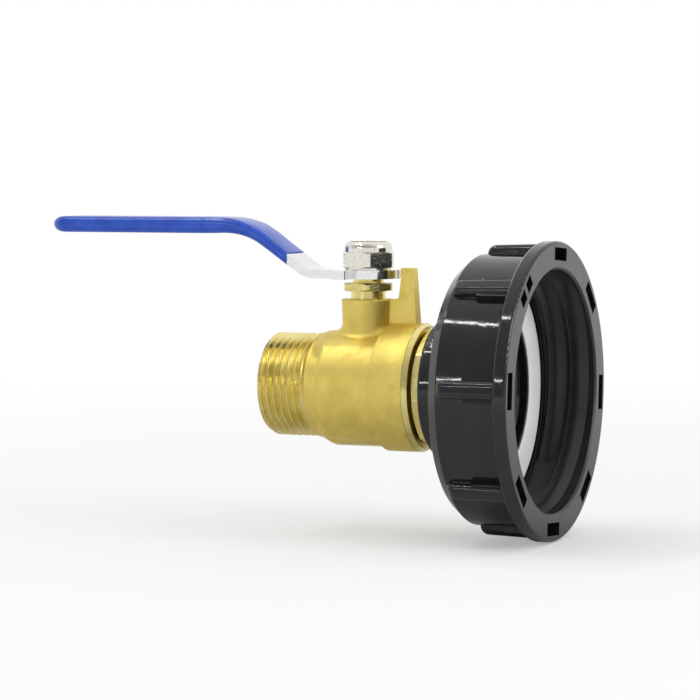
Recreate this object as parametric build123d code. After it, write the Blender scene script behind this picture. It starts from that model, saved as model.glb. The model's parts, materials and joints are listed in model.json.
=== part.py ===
"""Quarter-turn brass ball valve on a swivelling coupling nut for an intermediate bulk container.

Millimetres. +X runs along the pipe out of the coupling nut's mouth, towards the tank, +Z runs up the
stem, and the origin is the centre of the mouth face. The outlet points to -X.
"""

from build123d import *
import math
import os

os.makedirs("parts", exist_ok=True)

# Clearances
overrun = 2.0
thread_clearance = 0.05
running_clearance = 0.10
seat_clearance = 0.05
swivel_gap = 0.30
swivel_clearance = 0.80

# Ball and seats
waterway_radius = 8.0
ball_bore_step = 0.5
ball_wall = 4.0
seat_bore_step = 0.1
seat_width = 3.0
seat_front_inset = 4.9
seat_back_inset = 1.3
ball_bore_radius = waterway_radius - ball_bore_step
ball_radius = ball_bore_radius + ball_wall
seat_bore_radius = ball_bore_radius + seat_bore_step
seat_outer_radius = seat_bore_radius + seat_width
seat_front_offset = ball_radius - seat_front_inset
seat_back_offset = ball_radius - seat_back_inset

# Stem and gland
stem_radius = 3.95
stem_flat_depth = 1.05
stem_foot_collar = 1.25
stem_foot_gap = 0.5
stem_foot_thickness = 1.6
stem_point = 0.6
stem_end_room = 2.0
tang_width = 3.4
tang_length = 8.4
tang_depth = 3.3
slot_clearance = 0.10
recess_clearance = 0.30
thrust_washer_thickness = 0.6
shoulder_web = 1.58
packing_width = 1.1
packing_ring_count = 2
packing_ring_height = 1.2
packing_gap = 0.02
follower_height = 0.6
gland_thread_length = 3.38
gland_show = 2.1
gland_hex_height = 2.0
gland_hex_wall = 1.05
gland_neck_step = 0.6
gland_corner_cut = 0.2
gland_turn = 22.0
stem_flat_width = 2 * (stem_radius - stem_flat_depth)
stem_foot_radius = stem_radius + stem_foot_collar
packing_radius = stem_radius + packing_width
gland_across_flats = 2 * (packing_radius + gland_hex_wall)
gland_corner_radius = gland_across_flats / math.sqrt(3) - gland_corner_cut

# Lever and grip
lever_gap = 1.1
lever_thickness = 2.2
lever_hub_radius = 7.45
lever_width = 11.0
lever_hole_clearance = 0.08
lower_bend_reach = 15.0
slope_run = 17.4
lever_rise = 12.2
lower_bend_radius = 7.0
upper_bend_radius = 9.0
lever_reach = 88.2
tip_flat = 2.0
stop_length = 3.95
stop_width = 3.6
stop_gap = 0.08
stop_rounding = 0.5
grip_wall = 1.15
grip_start = 5.4
grip_rounding = 1.5
upright_share = 0.99
upper_bend_reach = lower_bend_reach + slope_run
stop_reach = lever_hub_radius + stop_length
grip_start_reach = lower_bend_reach + grip_start

# Handle nut and washer
handle_nut_wall = 2.4
handle_corner_cut = 0.25
handle_hex_height = 4.1
handle_turn = 23.0
washer_thickness = 0.5
washer_inset = 0.4
washer_split = 0.7
collar_inset = 0.25
collar_lid = 0.8
collar_rounding = 1.5
collar_mouth_step = 0.9
insert_width = 1.4
insert_height = 1.5
insert_inset = 0.3
handle_bore_radius = stem_radius + thread_clearance
handle_across_flats = 2 * (handle_bore_radius + handle_nut_wall)
handle_corner_radius = handle_across_flats / math.sqrt(3) - handle_corner_cut
washer_radius = handle_across_flats / 2 - washer_inset
collar_radius = handle_across_flats / 2 - collar_inset
collar_height = insert_inset + insert_height + collar_lid
collar_mouth_radius = handle_bore_radius + collar_mouth_step
insert_radius = handle_bore_radius + insert_width

# Inlet connector
ball_room = 0.6
wrench_sides = 8
wrench_thickness = 2.6
wrench_shoulder = 2.1
wrench_corner_cut = 0.1
wrench_turn = 8.0
connector_relief_depth = 0.6
connector_relief_length = 1.2
connector_gap = 0.6
washer_width = 0.5
stub_step = 0.1
stub_groove_offset = 1.6
stub_groove_width = 1.8
stub_groove_depth = 1.3
stub_rib_pitch = 1.5
stub_rib_depth = 0.5
connector_thread_radius = ball_radius + ball_room
connector_relief_radius = connector_thread_radius - connector_relief_depth
wrench_flat_radius = connector_thread_radius + wrench_shoulder
wrench_corner_radius = wrench_flat_radius / math.cos(math.pi / wrench_sides) - wrench_corner_cut
washer_outer_radius = connector_thread_radius + washer_width
stub_radius = connector_thread_radius + stub_step

# Valve body
spigot_radius = 13.22
spigot_chamfer = 1.0
spigot_thread_length = 13.4
thread_pitch = 1.814
thread_depth = 1.1
thread_land = 0.35
outlet_neck_length = 0.8
neck_step = 0.20
ramp_length = 3.8
ramp_start = 1.2
ramp_rounding = 2.0
side_step_start = 2.1
side_step_length = 0.5
body_wall = 3.3
crease_inset = 4.0
roof_drop = 1.4
keel_inset = 5.6
keel_rise = 0.65
keel_rounding = 8.0
ring_gap = 0.1
ring_step = 0.9
ring_rounding = 0.35
inlet_wall = 6.6
lip_length = 1.4
lip_step = 0.2
lip_taper = 0.45
outlet_bevel = 0.6
inlet_bevel = 0.5
boss_wall = 1.75
boss_taper = 0.4
boss_rim_rounding = 0.3
boss_root_rounding = 2.4
middle_radius = connector_thread_radius + body_wall
crease_half_width = middle_radius - crease_inset
crease_height = math.sqrt(middle_radius**2 - crease_half_width**2)
roof_height = middle_radius - roof_drop
roof_rise = roof_height - crease_height
roof_radius = (crease_half_width**2 + roof_rise**2) / (2 * roof_rise)
keel_half_width = middle_radius - keel_inset
keel_crease_depth = math.sqrt(middle_radius**2 - keel_half_width**2)
keel_depth = middle_radius + keel_rise
keel_slope = (keel_depth - keel_crease_depth) / keel_half_width
neck_shoulder_radius = spigot_radius + neck_step
thread_groove_count = int((spigot_thread_length - spigot_chamfer) / thread_pitch)
ring_radius = middle_radius + ring_step
lip_radius = ring_radius - lip_step
boss_top_radius = packing_radius + boss_wall
boss_base_radius = boss_top_radius - boss_taper
ring_start = boss_base_radius + ring_gap
ramp_end_reach = boss_base_radius + ramp_start
ramp_start_reach = ramp_end_reach + ramp_length
side_step_reach = boss_base_radius + side_step_start
inlet_reach = seat_back_offset + inlet_wall
outlet_reach = ramp_start_reach + outlet_neck_length + spigot_thread_length

# Stop lug
lug_thickness = 3.4
lug_gap = 2.15
lug_top_length = 3.17
lug_root_length = 1.03
lug_waist = 2.17
lug_waist_rise = 0.4
lug_overlap = 0.6
lug_web_drop = 0.15
lug_rounding = 0.25
lug_inner_reach = lever_hub_radius + lug_gap
lug_outer_reach = lug_inner_reach + lug_top_length
lug_root_reach = lug_outer_reach + lug_root_length
lug_waist_reach = boss_top_radius + lug_waist

# Coupling nut
thread_root_radius = 30.4
mouth_chamfer = 0.5
thread_end_gap = 0.5
tail_flange_clearance = 0.4
nut_wall = 3.6
nut_flange_width = 3.4
nut_flange_thickness = 3.6
nut_flange_rounding = 0.7
nut_flange_fillet = 0.8
nut_shoulder_length = 2.8
nut_shoulder_drop = 2.4
nut_shoulder_rounding = 0.7
nut_web_thickness = 2.2
nut_turn = 4.0
rib_count = 8
rib_width = 4.5
rib_height = 2.7
rib_draft = 0.5
rib_end_margin = 3.1
rib_end_rounding = 2.3
rib_top_rounding = 1.5
pad_overhang = 0.85
pad_height = 1.4
pad_length = 12.2
pad_rounding = 0.6
pocket_length = 8.9
pocket_width = 3.2
pocket_floor = 0.6
pocket_web = 1.5
mouth_radius = thread_root_radius + mouth_chamfer
nut_barrel_radius = thread_root_radius + nut_wall
nut_flange_radius = nut_barrel_radius + nut_flange_width
rib_radius = nut_barrel_radius + rib_height
pad_radius = nut_barrel_radius + pad_height
pad_width = rib_width + 2 * pad_overhang
pocket_radius = (mouth_radius + nut_flange_radius) / 2
pocket_depth = nut_flange_thickness - pocket_floor

# Tank seal and tail piece
seal_face_depth = 14.5
seal_thickness = 2.4
seal_room = 1.4
seal_width = 8.1
seal_rounding = 0.5
tail_flange_thickness = 2.6
tail_flange_lip = 0.4
neck_length = 11.3
neck_wall = 5.7
neck_taper = 0.7
neck_end_rounding = 0.9
throat_step = 1.0
throat_length = 1.0
dish_depth = 4.7
seal_spigot_clearance = 0.1
seal_spigot_wall = 1.2
seal_spigot_setback = 0.4
seal_outer_radius = thread_root_radius - seal_room
seal_bore_radius = seal_outer_radius - seal_width
seal_spigot_radius = seal_bore_radius - seal_spigot_clearance
seal_spigot_bore_radius = seal_spigot_radius - seal_spigot_wall
tail_flange_radius = seal_outer_radius + tail_flange_lip
neck_radius = stub_radius + neck_wall
neck_end_radius = neck_radius - neck_taper
tail_throat_radius = waterway_radius + throat_step
stub_length = neck_length + tail_flange_thickness - dish_depth - throat_length

# Places along the pipe
seal_back_x = -(seal_face_depth + seal_thickness)
tail_back_x = seal_back_x - tail_flange_thickness
web_face_x = tail_back_x - swivel_gap
nut_back_x = web_face_x - nut_web_thickness
rib_start_depth = -nut_back_x - rib_end_margin
tail_end_x = tail_back_x - neck_length
wrench_back_x = tail_end_x - wrench_thickness
inlet_face_x = wrench_back_x - connector_gap
stem_x = inlet_face_x - inlet_reach
outlet_face_x = stem_x - outlet_reach
stub_end_x = tail_end_x + stub_length

# Places up the stem
stem_foot_base = ball_radius + stem_foot_gap
stem_foot_top = stem_foot_base + stem_foot_thickness
recess_top = stem_foot_top + thrust_washer_thickness + packing_gap
packing_shoulder_height = recess_top + shoulder_web
packing_top = packing_shoulder_height + packing_ring_count * packing_ring_height
follower_top = packing_top + packing_gap + follower_height
boss_top_height = follower_top + gland_thread_length
gland_hex_base_height = boss_top_height + gland_show
lever_height = gland_hex_base_height + gland_hex_height + lever_gap
lever_top = lever_height + lever_thickness
lug_waist_height = boss_top_height + lug_waist_rise
lug_top_height = lever_top + lug_overlap
washer_top = lever_top + washer_thickness
handle_hex_top = washer_top + handle_hex_height
stem_top_height = handle_hex_top + stem_end_room
handle_top = handle_hex_top + collar_height

# Radii that follow the pieces inside them
body_thread_radius = connector_thread_radius + thread_clearance
seat_pocket_radius = seat_outer_radius + seat_clearance
stem_bore_radius = stem_radius + running_clearance
recess_radius = stem_foot_radius + recess_clearance

stem_axis = Axis((stem_x, 0, 0), (0, 0, 1))


def outline(corners):
    """Face in the XZ plane from (x, z, rounding) corners."""
    points = [(x, 0, z) for x, z, rounding in corners]
    roundings = [rounding for x, z, rounding in corners]
    return Face(Wire(FilletPolyline(*points, radius=roundings, close=True).edges()))


def turned(corners, axis=Axis.X):
    """Solid turned about an axis in the XZ plane."""
    return revolve(outline(corners), axis=axis)


def tube(start_x, end_x, outer, inner):
    """Ring along the pipe."""
    return turned([(start_x, inner, 0), (end_x, inner, 0), (end_x, outer, 0), (start_x, outer, 0)])


def rod(start_x, end_x, radius):
    """Solid cylinder along the pipe."""
    return turned([(start_x, 0, 0), (end_x, 0, 0), (end_x, radius, 0), (start_x, radius, 0)])


def post(base, top, radius):
    """Solid cylinder about the stem axis."""
    return Pos(stem_x, 0, base) * Cylinder(radius, top - base, align=(Align.CENTER, Align.CENTER, Align.MIN))


def washer(base, top, outer, inner):
    """Flat ring about the stem axis."""
    return post(base, top, outer) - post(base - overrun, top + overrun, inner)


def flatted_post(base, top, radius, flat_width):
    """Cylinder about the stem axis with two flats that face along the pipe."""
    span = 2 * radius + overrun
    block = Pos(stem_x, 0, (base + top) / 2) * Box(flat_width, span, top - base)
    return post(base, top, radius) & block


def wrench_blank(sides, height, flat_radius, corner_radius):
    """Polygon bar on the XY plane with its corners turned off at both ends, one corner towards -Y."""
    sketch = RegularPolygon(flat_radius, sides, major_radius=False, rotation=-90)
    drop = (corner_radius - flat_radius) / 2
    corners = [
        (0, 0, 0),
        (flat_radius, 0, 0),
        (corner_radius, drop, 0),
        (corner_radius, height - drop, 0),
        (flat_radius, height, 0),
        (0, height, 0),
    ]
    return extrude(sketch, amount=height) & turned(corners, Axis.Z)


def stem_hexagon(base, height, across_flats, corner_radius, turn):
    """Hexagon nut blank about the stem axis."""
    blank = wrench_blank(6, height, across_flats / 2, corner_radius)
    return Pos(stem_x, 0, base) * Rot(0, 0, turn) * blank


def offset_bend(points, radii, distance):
    """Corners and radii of a bent line moved sideways by a distance, to its left where positive."""
    moved = []
    for index, (x, z) in enumerate(points):
        before = points[max(index - 1, 0)]
        after = points[min(index + 1, len(points) - 1)]
        into = Vector(x - before[0], z - before[1])
        out = Vector(after[0] - x, after[1] - z)
        into = out if into.length == 0 else into
        out = into if out.length == 0 else out
        into, out = into.normalized(), out.normalized()
        normal = Vector(-into.Y - out.Y, into.X + out.X).normalized()
        reach = distance / normal.dot(Vector(-into.Y, into.X))
        bend = into.X * out.Y - into.Y * out.X
        turning = math.copysign(1, bend)
        radius = radii[index] - distance * turning if radii[index] else 0
        moved.append((x + normal.X * reach, z + normal.Y * reach, radius))
    return moved


def bent_strip(points, radii, thickness, width):
    """Strip bent in the XZ plane along a centre line, centred on the pipe axis."""
    left = offset_bend(points, radii, thickness / 2)
    right = offset_bend(points, radii, -thickness / 2)
    return extrude(outline(left + right[::-1]), amount=width / 2, both=True)


def forged_middle():
    """Middle of the body, a barrel with a low roof and a keel whose two flats meet in a rounded ridge."""
    start_x = stem_x - ramp_start_reach
    length = inlet_face_x - lip_length - start_x
    barrel = rod(start_x, start_x + length, middle_radius)
    roof = Plane.YZ.offset(start_x) * Pos(0, roof_height - roof_radius) * Circle(roof_radius)
    keel_edge = -keel_depth + keel_slope * middle_radius
    profile = FilletPolyline(
        (-middle_radius, keel_edge),
        (0, -keel_depth),
        (middle_radius, keel_edge),
        (middle_radius, middle_radius),
        (-middle_radius, middle_radius),
        radius=[0, keel_rounding, 0, 0, 0],
        close=True,
    )
    keel = Plane.YZ.offset(start_x) * make_face(profile)
    return barrel & extrude(roof, amount=length) & extrude(keel, amount=length)


def outlet_shoulder():
    """What is cut off the middle towards the outlet: a ramp over and under, a steep step at the sides."""
    start_x = stem_x - ramp_start_reach - overrun
    outer = middle_radius + boss_root_rounding
    over_and_under = turned(
        [
            (start_x, neck_shoulder_radius, 0),
            (stem_x - ramp_start_reach, neck_shoulder_radius, ramp_rounding),
            (stem_x - ramp_end_reach, middle_radius, ramp_rounding),
            (stem_x - ramp_end_reach + side_step_length, middle_radius, 0),
            (stem_x - ramp_end_reach + side_step_length, outer, 0),
            (start_x, outer, 0),
        ]
    )
    sides = turned(
        [
            (start_x, neck_shoulder_radius, 0),
            (stem_x - side_step_reach - side_step_length, neck_shoulder_radius, 0),
            (stem_x - side_step_reach, middle_radius, 0),
            (stem_x - side_step_reach, outer, 0),
            (start_x, outer, 0),
        ]
    )
    side_band = Pos(stem_x - ramp_start_reach, 0, (crease_height - keel_crease_depth) / 2) * Box(
        2 * (ramp_length + overrun), 2 * (outer + overrun), crease_height + keel_crease_depth
    )
    return over_and_under + (sides & side_band)


def outlet_spigot():
    """Outlet end with one plain groove for each turn of its pipe thread, and the neck behind it."""
    groove_radius = spigot_radius - thread_depth
    corners = [
        (outlet_face_x, 0, 0),
        (outlet_face_x, spigot_radius - spigot_chamfer, 0),
        (outlet_face_x + spigot_chamfer, spigot_radius, 0),
    ]
    for index in range(thread_groove_count):
        crest_x = outlet_face_x + spigot_chamfer + thread_land + index * thread_pitch
        next_crest_x = crest_x + thread_pitch - thread_land
        corners += [
            (crest_x, spigot_radius, 0),
            ((crest_x + next_crest_x) / 2, groove_radius, 0),
            (next_crest_x, spigot_radius, 0),
        ]
    thread_end_x = outlet_face_x + spigot_thread_length
    neck_end_x = stem_x - ramp_end_reach
    corners += [
        (thread_end_x, spigot_radius, 0),
        (thread_end_x, neck_shoulder_radius, 0),
        (neck_end_x, neck_shoulder_radius, 0),
        (neck_end_x, 0, 0),
    ]
    return turned(corners)


def inlet_ring():
    """Round inlet end with its machined lip."""
    ring_x = stem_x + ring_start
    return turned(
        [
            (ring_x, 0, 0),
            (ring_x, ring_radius, ring_rounding),
            (inlet_face_x - lip_length, ring_radius, 0),
            (inlet_face_x - lip_length, lip_radius, 0),
            (inlet_face_x, lip_radius - lip_taper, 0),
            (inlet_face_x, 0, 0),
        ]
    )


def stem_boss():
    """Tapered boss round the stem."""
    corners = [
        (stem_x, 0, 0),
        (stem_x + boss_base_radius, 0, 0),
        (stem_x + boss_base_radius, crease_height, 0),
        (stem_x + boss_top_radius, boss_top_height, boss_rim_rounding),
        (stem_x, boss_top_height, 0),
    ]
    return turned(corners, stem_axis)


def stop_lug():
    """Upright fin that the lever's two stops meet."""
    web_height = boss_top_height - lug_web_drop
    corners = [
        (stem_x, 0, 0),
        (stem_x + lug_root_reach, 0, 0),
        (stem_x + lug_root_reach, ring_radius, 0),
        (stem_x + lug_outer_reach, lug_top_height, lug_rounding),
        (stem_x + lug_inner_reach, lug_top_height, lug_rounding),
        (stem_x + lug_inner_reach, lever_height, 0),
        (stem_x + lug_waist_reach, lug_waist_height, 0),
        (stem_x + boss_top_radius, web_height, 0),
        (stem_x, web_height, 0),
    ]
    return extrude(outline(corners), amount=lug_thickness / 2, both=True)


def body_hollow():
    """Waterway, ball chamber, seat pocket, connector thread and stuffing box."""
    along = turned(
        [
            (outlet_face_x - overrun, 0, 0),
            (outlet_face_x - overrun, waterway_radius + outlet_bevel, 0),
            (outlet_face_x, waterway_radius + outlet_bevel, 0),
            (outlet_face_x + outlet_bevel, waterway_radius, 0),
            (stem_x - seat_back_offset, waterway_radius, 0),
            (stem_x - seat_back_offset, seat_pocket_radius, 0),
            (stem_x - seat_front_offset, seat_pocket_radius, 0),
            (stem_x - seat_front_offset, body_thread_radius, 0),
            (inlet_face_x - inlet_bevel, body_thread_radius, 0),
            (inlet_face_x, body_thread_radius + inlet_bevel, 0),
            (inlet_face_x + overrun, body_thread_radius + inlet_bevel, 0),
            (inlet_face_x + overrun, 0, 0),
        ]
    )
    recess = post(0, recess_top, recess_radius)
    shaft_bore = post(0, boss_top_height, stem_bore_radius)
    stuffing_box = post(packing_shoulder_height, boss_top_height + overrun, packing_radius)
    return along + recess + shaft_bore + stuffing_box


def on_boss_root(edge):
    """Whether an edge of the body runs round the boss where it leaves the roof."""
    reaches = [math.hypot(point.X - stem_x, point.Y) for point in (edge @ 0, edge @ (1 / 2), edge @ 1)]
    on_wall = boss_base_radius - running_clearance < min(reaches) and max(reaches) < boss_top_radius
    return on_wall and edge.geom_type != GeomType.LINE and (edge @ (1 / 2)).Z < middle_radius


def valve_body():
    shell = forged_middle() + stem_boss()
    shell = fillet([edge for edge in shell.edges() if on_boss_root(edge)], boss_root_rounding)
    shell = shell - outlet_shoulder() + outlet_spigot()
    return shell + inlet_ring() + stop_lug() - body_hollow()


def ball():
    sphere = Pos(stem_x, 0, 0) * Sphere(ball_radius)
    bore = rod(stem_x - ball_radius - overrun, stem_x + ball_radius + overrun, ball_bore_radius)
    slot_floor = stem_foot_base - tang_depth - slot_clearance
    slot_height = ball_radius + overrun - slot_floor
    slot = Pos(stem_x, 0, slot_floor) * Box(
        tang_width + 2 * slot_clearance,
        2 * (ball_radius + overrun),
        slot_height,
        align=(Align.CENTER, Align.CENTER, Align.MIN),
    )
    return sphere - bore - slot


def seat(side):
    """Soft seat ring on one side of the ball, -1 towards the outlet and 1 towards the tank."""
    section = outline(
        [
            (stem_x + side * seat_front_offset, seat_bore_radius, 0),
            (stem_x + side * seat_back_offset, seat_bore_radius, 0),
            (stem_x + side * seat_back_offset, seat_outer_radius, 0),
            (stem_x + side * seat_front_offset, seat_outer_radius, 0),
        ]
    )
    ball_disc = Plane.XZ * Pos(stem_x, 0) * Circle(ball_radius + seat_clearance)
    return revolve(section - ball_disc, axis=Axis.X)


def stem():
    tang_base = stem_foot_base - tang_depth
    tang = Pos(stem_x, 0, tang_base) * Box(
        tang_width,
        tang_length,
        tang_depth + stem_foot_thickness / 2,
        align=(Align.CENTER, Align.CENTER, Align.MIN),
    )
    foot = post(stem_foot_base, stem_foot_top, stem_foot_radius)
    shaft = post(stem_foot_base, lever_height, stem_radius)
    top = turned(
        [
            (stem_x, lever_height, 0),
            (stem_x + stem_radius, lever_height, 0),
            (stem_x + stem_radius, stem_top_height - stem_point, 0),
            (stem_x + stem_radius - stem_point, stem_top_height, 0),
            (stem_x, stem_top_height, 0),
        ],
        stem_axis,
    )
    top = top & flatted_post(lever_height, stem_top_height, stem_radius, stem_flat_width)
    return tang + foot + shaft + top


def stem_washer():
    return washer(stem_foot_top, stem_foot_top + thrust_washer_thickness, stem_foot_radius, stem_bore_radius)


def stem_packing():
    rings = []
    for index in range(packing_ring_count):
        base = packing_shoulder_height + index * packing_ring_height
        top = base + packing_ring_height - packing_gap
        ring = washer(base, top, packing_radius - packing_gap, stem_bore_radius)
        rings.append(ring)
    return Compound(children=rings)


def packing_follower():
    return washer(packing_top, follower_top - packing_gap, packing_radius - packing_gap, stem_bore_radius)


def gland_nut():
    shank = post(follower_top, boss_top_height, packing_radius - thread_clearance)
    neck = post(boss_top_height, gland_hex_base_height + gland_hex_height / 2, packing_radius - gland_neck_step)
    head = stem_hexagon(
        gland_hex_base_height, gland_hex_height, gland_across_flats, gland_corner_radius, gland_turn
    )
    bore = post(0, lever_height, stem_bore_radius)
    return shank + neck + head - bore


def lever_line(start_reach, end_reach):
    """Centre line of the strap and its bend radii between two distances from the stem axis."""
    middle = lever_height + lever_thickness / 2
    slope = lever_rise / (upper_bend_reach - lower_bend_reach)
    points = [(stem_x - start_reach, middle), (stem_x - lower_bend_reach, middle)]
    radii = [0, lower_bend_radius]
    if start_reach > lower_bend_reach:
        points = [(stem_x - start_reach, middle + slope * (start_reach - lower_bend_reach))]
        radii = [0]
    points += [(stem_x - upper_bend_reach, middle + lever_rise), (stem_x - end_reach, middle + lever_rise)]
    radii += [upper_bend_radius, 0]
    return points, radii


def strap(start_reach, growth):
    """The lever's bent strap with its rounded tip, grown on every side but its start."""
    reach = lever_reach + growth
    width = lever_width + 2 * growth
    points, radii = lever_line(start_reach, reach)
    strip = bent_strip(points, radii, lever_thickness + 2 * growth, width)
    half = width / 2
    rounding = half - tip_flat / 2
    corners = [(stem_x, half), (stem_x - reach, half), (stem_x - reach, -half), (stem_x, -half)]
    plan = FilletPolyline(*corners, radius=[0, rounding, rounding, 0], close=True)
    return strip & extrude(make_face(plan), amount=lever_height + lever_rise + width)


def lever():
    hub = post(lever_height, lever_top, lever_hub_radius)
    face = lug_thickness / 2 + stop_gap
    stop = Pos(stem_x, face, lever_height) * Box(
        stop_reach, stop_width, lever_thickness, align=(Align.MIN, Align.MIN, Align.MIN)
    )
    stop = fillet(stop.edges().filter_by(Axis.Z).group_by(Axis.X)[-1], stop_rounding)
    other_stop = stop.rotate(stem_axis, -90)
    other_stop = other_stop.mirror(Plane(origin=(stem_x, 0, 0), z_dir=(1, 0, 0)))
    hole = flatted_post(
        lever_height - overrun,
        lever_top + overrun,
        stem_radius + lever_hole_clearance,
        stem_flat_width + 2 * lever_hole_clearance,
    )
    return strap(0, 0) + hub + stop + other_stop - hole


def on_grip_rim(edge, mouth):
    """Whether an edge of the sleeve borders its top or underside away from the mouth."""
    centre = edge.center()
    at_side = abs(centre.Y) > lever_width / 4
    at_tip = centre.X < stem_x - lever_reach + grip_wall
    upright = abs(edge.tangent_at(1 / 2).Z) > upright_share
    return (at_side or at_tip) and not upright and mouth.distance_to(centre) > thread_clearance


def lever_grip():
    sleeve = strap(grip_start_reach, grip_wall)
    mouth = sleeve.faces().sort_by(Axis.X)[-1]
    sleeve = fillet([edge for edge in sleeve.edges() if on_grip_rim(edge, mouth)], grip_rounding)
    return sleeve - strap(0, 0)


def spring_washer():
    ring = washer(lever_top, washer_top, washer_radius, handle_bore_radius)
    split = Pos(stem_x, washer_radius, (lever_top + washer_top) / 2) * Box(
        washer_split, 2 * stem_radius, 2 * washer_thickness
    )
    return ring - split


def handle_nut():
    head = stem_hexagon(
        washer_top, handle_hex_height, handle_across_flats, handle_corner_radius, handle_turn
    )
    collar = turned(
        [
            (stem_x, washer_top, 0),
            (stem_x + collar_radius, washer_top, 0),
            (stem_x + collar_radius, handle_top, collar_rounding),
            (stem_x, handle_top, 0),
        ],
        stem_axis,
    )
    insert_base = handle_hex_top + insert_inset
    bore = post(0, handle_top + overrun, handle_bore_radius)
    pocket = post(insert_base, insert_base + insert_height, insert_radius + thread_clearance)
    mouth = post(insert_base, handle_top + overrun, collar_mouth_radius)
    return head + collar - bore - pocket - mouth


def nut_insert():
    base = handle_hex_top + insert_inset
    return washer(base, base + insert_height, insert_radius, handle_bore_radius)


def inlet_connector():
    inner_x = stem_x + seat_front_offset + seat_clearance
    shank = rod(inner_x, wrench_back_x + wrench_thickness / 2, connector_thread_radius)
    relief_x = wrench_back_x - connector_relief_length
    relief = tube(relief_x, wrench_back_x, connector_thread_radius + overrun, connector_relief_radius)
    blank = wrench_blank(wrench_sides, wrench_thickness, wrench_flat_radius, wrench_corner_radius)
    head = Pos(wrench_back_x, 0, 0) * Rot(wrench_turn, 0, 0) * Rot(0, 90, 0) * blank
    stub = rod(tail_end_x - wrench_thickness / 2, stub_end_x, stub_radius)
    groove_x = stub_end_x - stub_groove_offset - stub_groove_width
    groove = tube(
        groove_x, groove_x + stub_groove_width, stub_radius + overrun, stub_radius - stub_groove_depth
    )
    bore = rod(inner_x - overrun, stub_end_x + overrun, waterway_radius)
    pocket = rod(inner_x - overrun, stem_x + seat_back_offset, seat_pocket_radius)
    connector = shank - relief + head + stub - groove - bore - pocket
    rib_room = groove_x - tail_end_x
    for index in range(1, int(rib_room / stub_rib_pitch)):
        start_x = tail_end_x + index * stub_rib_pitch
        connector -= tube(
            start_x, start_x + stub_rib_pitch / 2, stub_radius + overrun, stub_radius - stub_rib_depth
        )
    return connector


def connector_washer():
    return tube(inlet_face_x, wrench_back_x, washer_outer_radius, connector_relief_radius + thread_clearance)


def stub_o_ring():
    section = stub_groove_depth / 2
    centre_x = stub_end_x - stub_groove_offset - stub_groove_width / 2
    ring = Torus(stub_radius - section, section)
    return Pos(centre_x, 0, 0) * Rot(0, 90, 0) * ring


def tail_piece():
    return turned(
        [
            (tail_end_x, stub_radius + thread_clearance, 0),
            (tail_end_x, neck_end_radius, neck_end_rounding),
            (tail_back_x, neck_radius, 0),
            (tail_back_x, tail_flange_radius, 0),
            (seal_back_x, tail_flange_radius, seal_rounding),
            (seal_back_x, seal_spigot_radius, 0),
            (-seal_face_depth - seal_spigot_setback, seal_spigot_radius, 0),
            (-seal_face_depth - seal_spigot_setback, seal_spigot_bore_radius, 0),
            (seal_back_x, seal_spigot_bore_radius, 0),
            (seal_back_x - dish_depth, tail_throat_radius, 0),
            (stub_end_x, tail_throat_radius, 0),
            (stub_end_x, stub_radius + thread_clearance, 0),
        ]
    )


def tank_seal():
    return turned(
        [
            (seal_back_x, seal_bore_radius, seal_rounding),
            (seal_back_x, seal_outer_radius, seal_rounding),
            (-seal_face_depth, seal_outer_radius, seal_rounding),
            (-seal_face_depth, seal_bore_radius, seal_rounding),
        ]
    )


def nut_rib():
    """Grip rib on the side that faces the viewer, with its wider pad beside the flange."""
    buried = nut_barrel_radius - nut_web_thickness
    flange_x = -nut_flange_thickness / 2
    ridge = extrude(
        outline(
            [
                (-rib_start_depth, buried, 0),
                (-rib_start_depth, rib_radius - rib_draft, rib_end_rounding),
                (flange_x, rib_radius, 0),
                (flange_x, buried, 0),
            ]
        ),
        amount=rib_width / 2,
        both=True,
    )
    top_edges = [
        edge
        for edge in ridge.edges()
        if abs(edge.center().Y) > rib_width / 4
        and edge.bounding_box().min.Z > nut_barrel_radius
    ]
    ridge = fillet(top_edges, rib_top_rounding)
    pad = extrude(
        outline(
            [
                (-pad_length, buried, 0),
                (-pad_length, pad_radius, pad_rounding),
                (flange_x, pad_radius, 0),
                (flange_x, buried, 0),
            ]
        ),
        amount=pad_width / 2,
        both=True,
    )
    return ridge + pad


def flange_pocket(split):
    """Moulding pocket in the flange face, in two halves where it is split."""
    block = Pos(0, 0, pocket_radius) * Box(2 * pocket_depth, pocket_length, pocket_width)
    if split:
        web = Pos(0, 0, pocket_radius) * Box(2 * pocket_depth, pocket_web, pocket_width)
        return block - web
    return block


def coupling_nut():
    thread_end_x = thread_end_gap - seal_face_depth
    shell = turned(
        [
            (nut_back_x, neck_radius + swivel_clearance, 0),
            (nut_back_x, nut_barrel_radius - nut_shoulder_drop, nut_shoulder_rounding),
            (nut_back_x + nut_shoulder_length, nut_barrel_radius, nut_shoulder_rounding),
            (-nut_flange_thickness, nut_barrel_radius, nut_flange_fillet),
            (-nut_flange_thickness, nut_flange_radius, nut_flange_rounding),
            (0, nut_flange_radius, nut_flange_rounding),
            (0, mouth_radius, 0),
            (thread_root_radius - mouth_radius, thread_root_radius, 0),
            (thread_end_x, thread_root_radius, 0),
            (thread_end_x, tail_flange_radius + tail_flange_clearance, 0),
            (web_face_x, tail_flange_radius + tail_flange_clearance, 0),
            (web_face_x, neck_radius + swivel_clearance, 0),
        ]
    )
    inside = rod(web_face_x, overrun, thread_root_radius)
    rib = nut_rib() - inside
    step = 360 / rib_count
    for index in range(rib_count):
        shell += Rot(90 - nut_turn + index * step, 0, 0) * rib
    for index in range(rib_count):
        pocket = flange_pocket(index == rib_count - 1)
        shell -= Rot(90 - nut_turn + index * step, 0, 0) * pocket
    return shell


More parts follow.
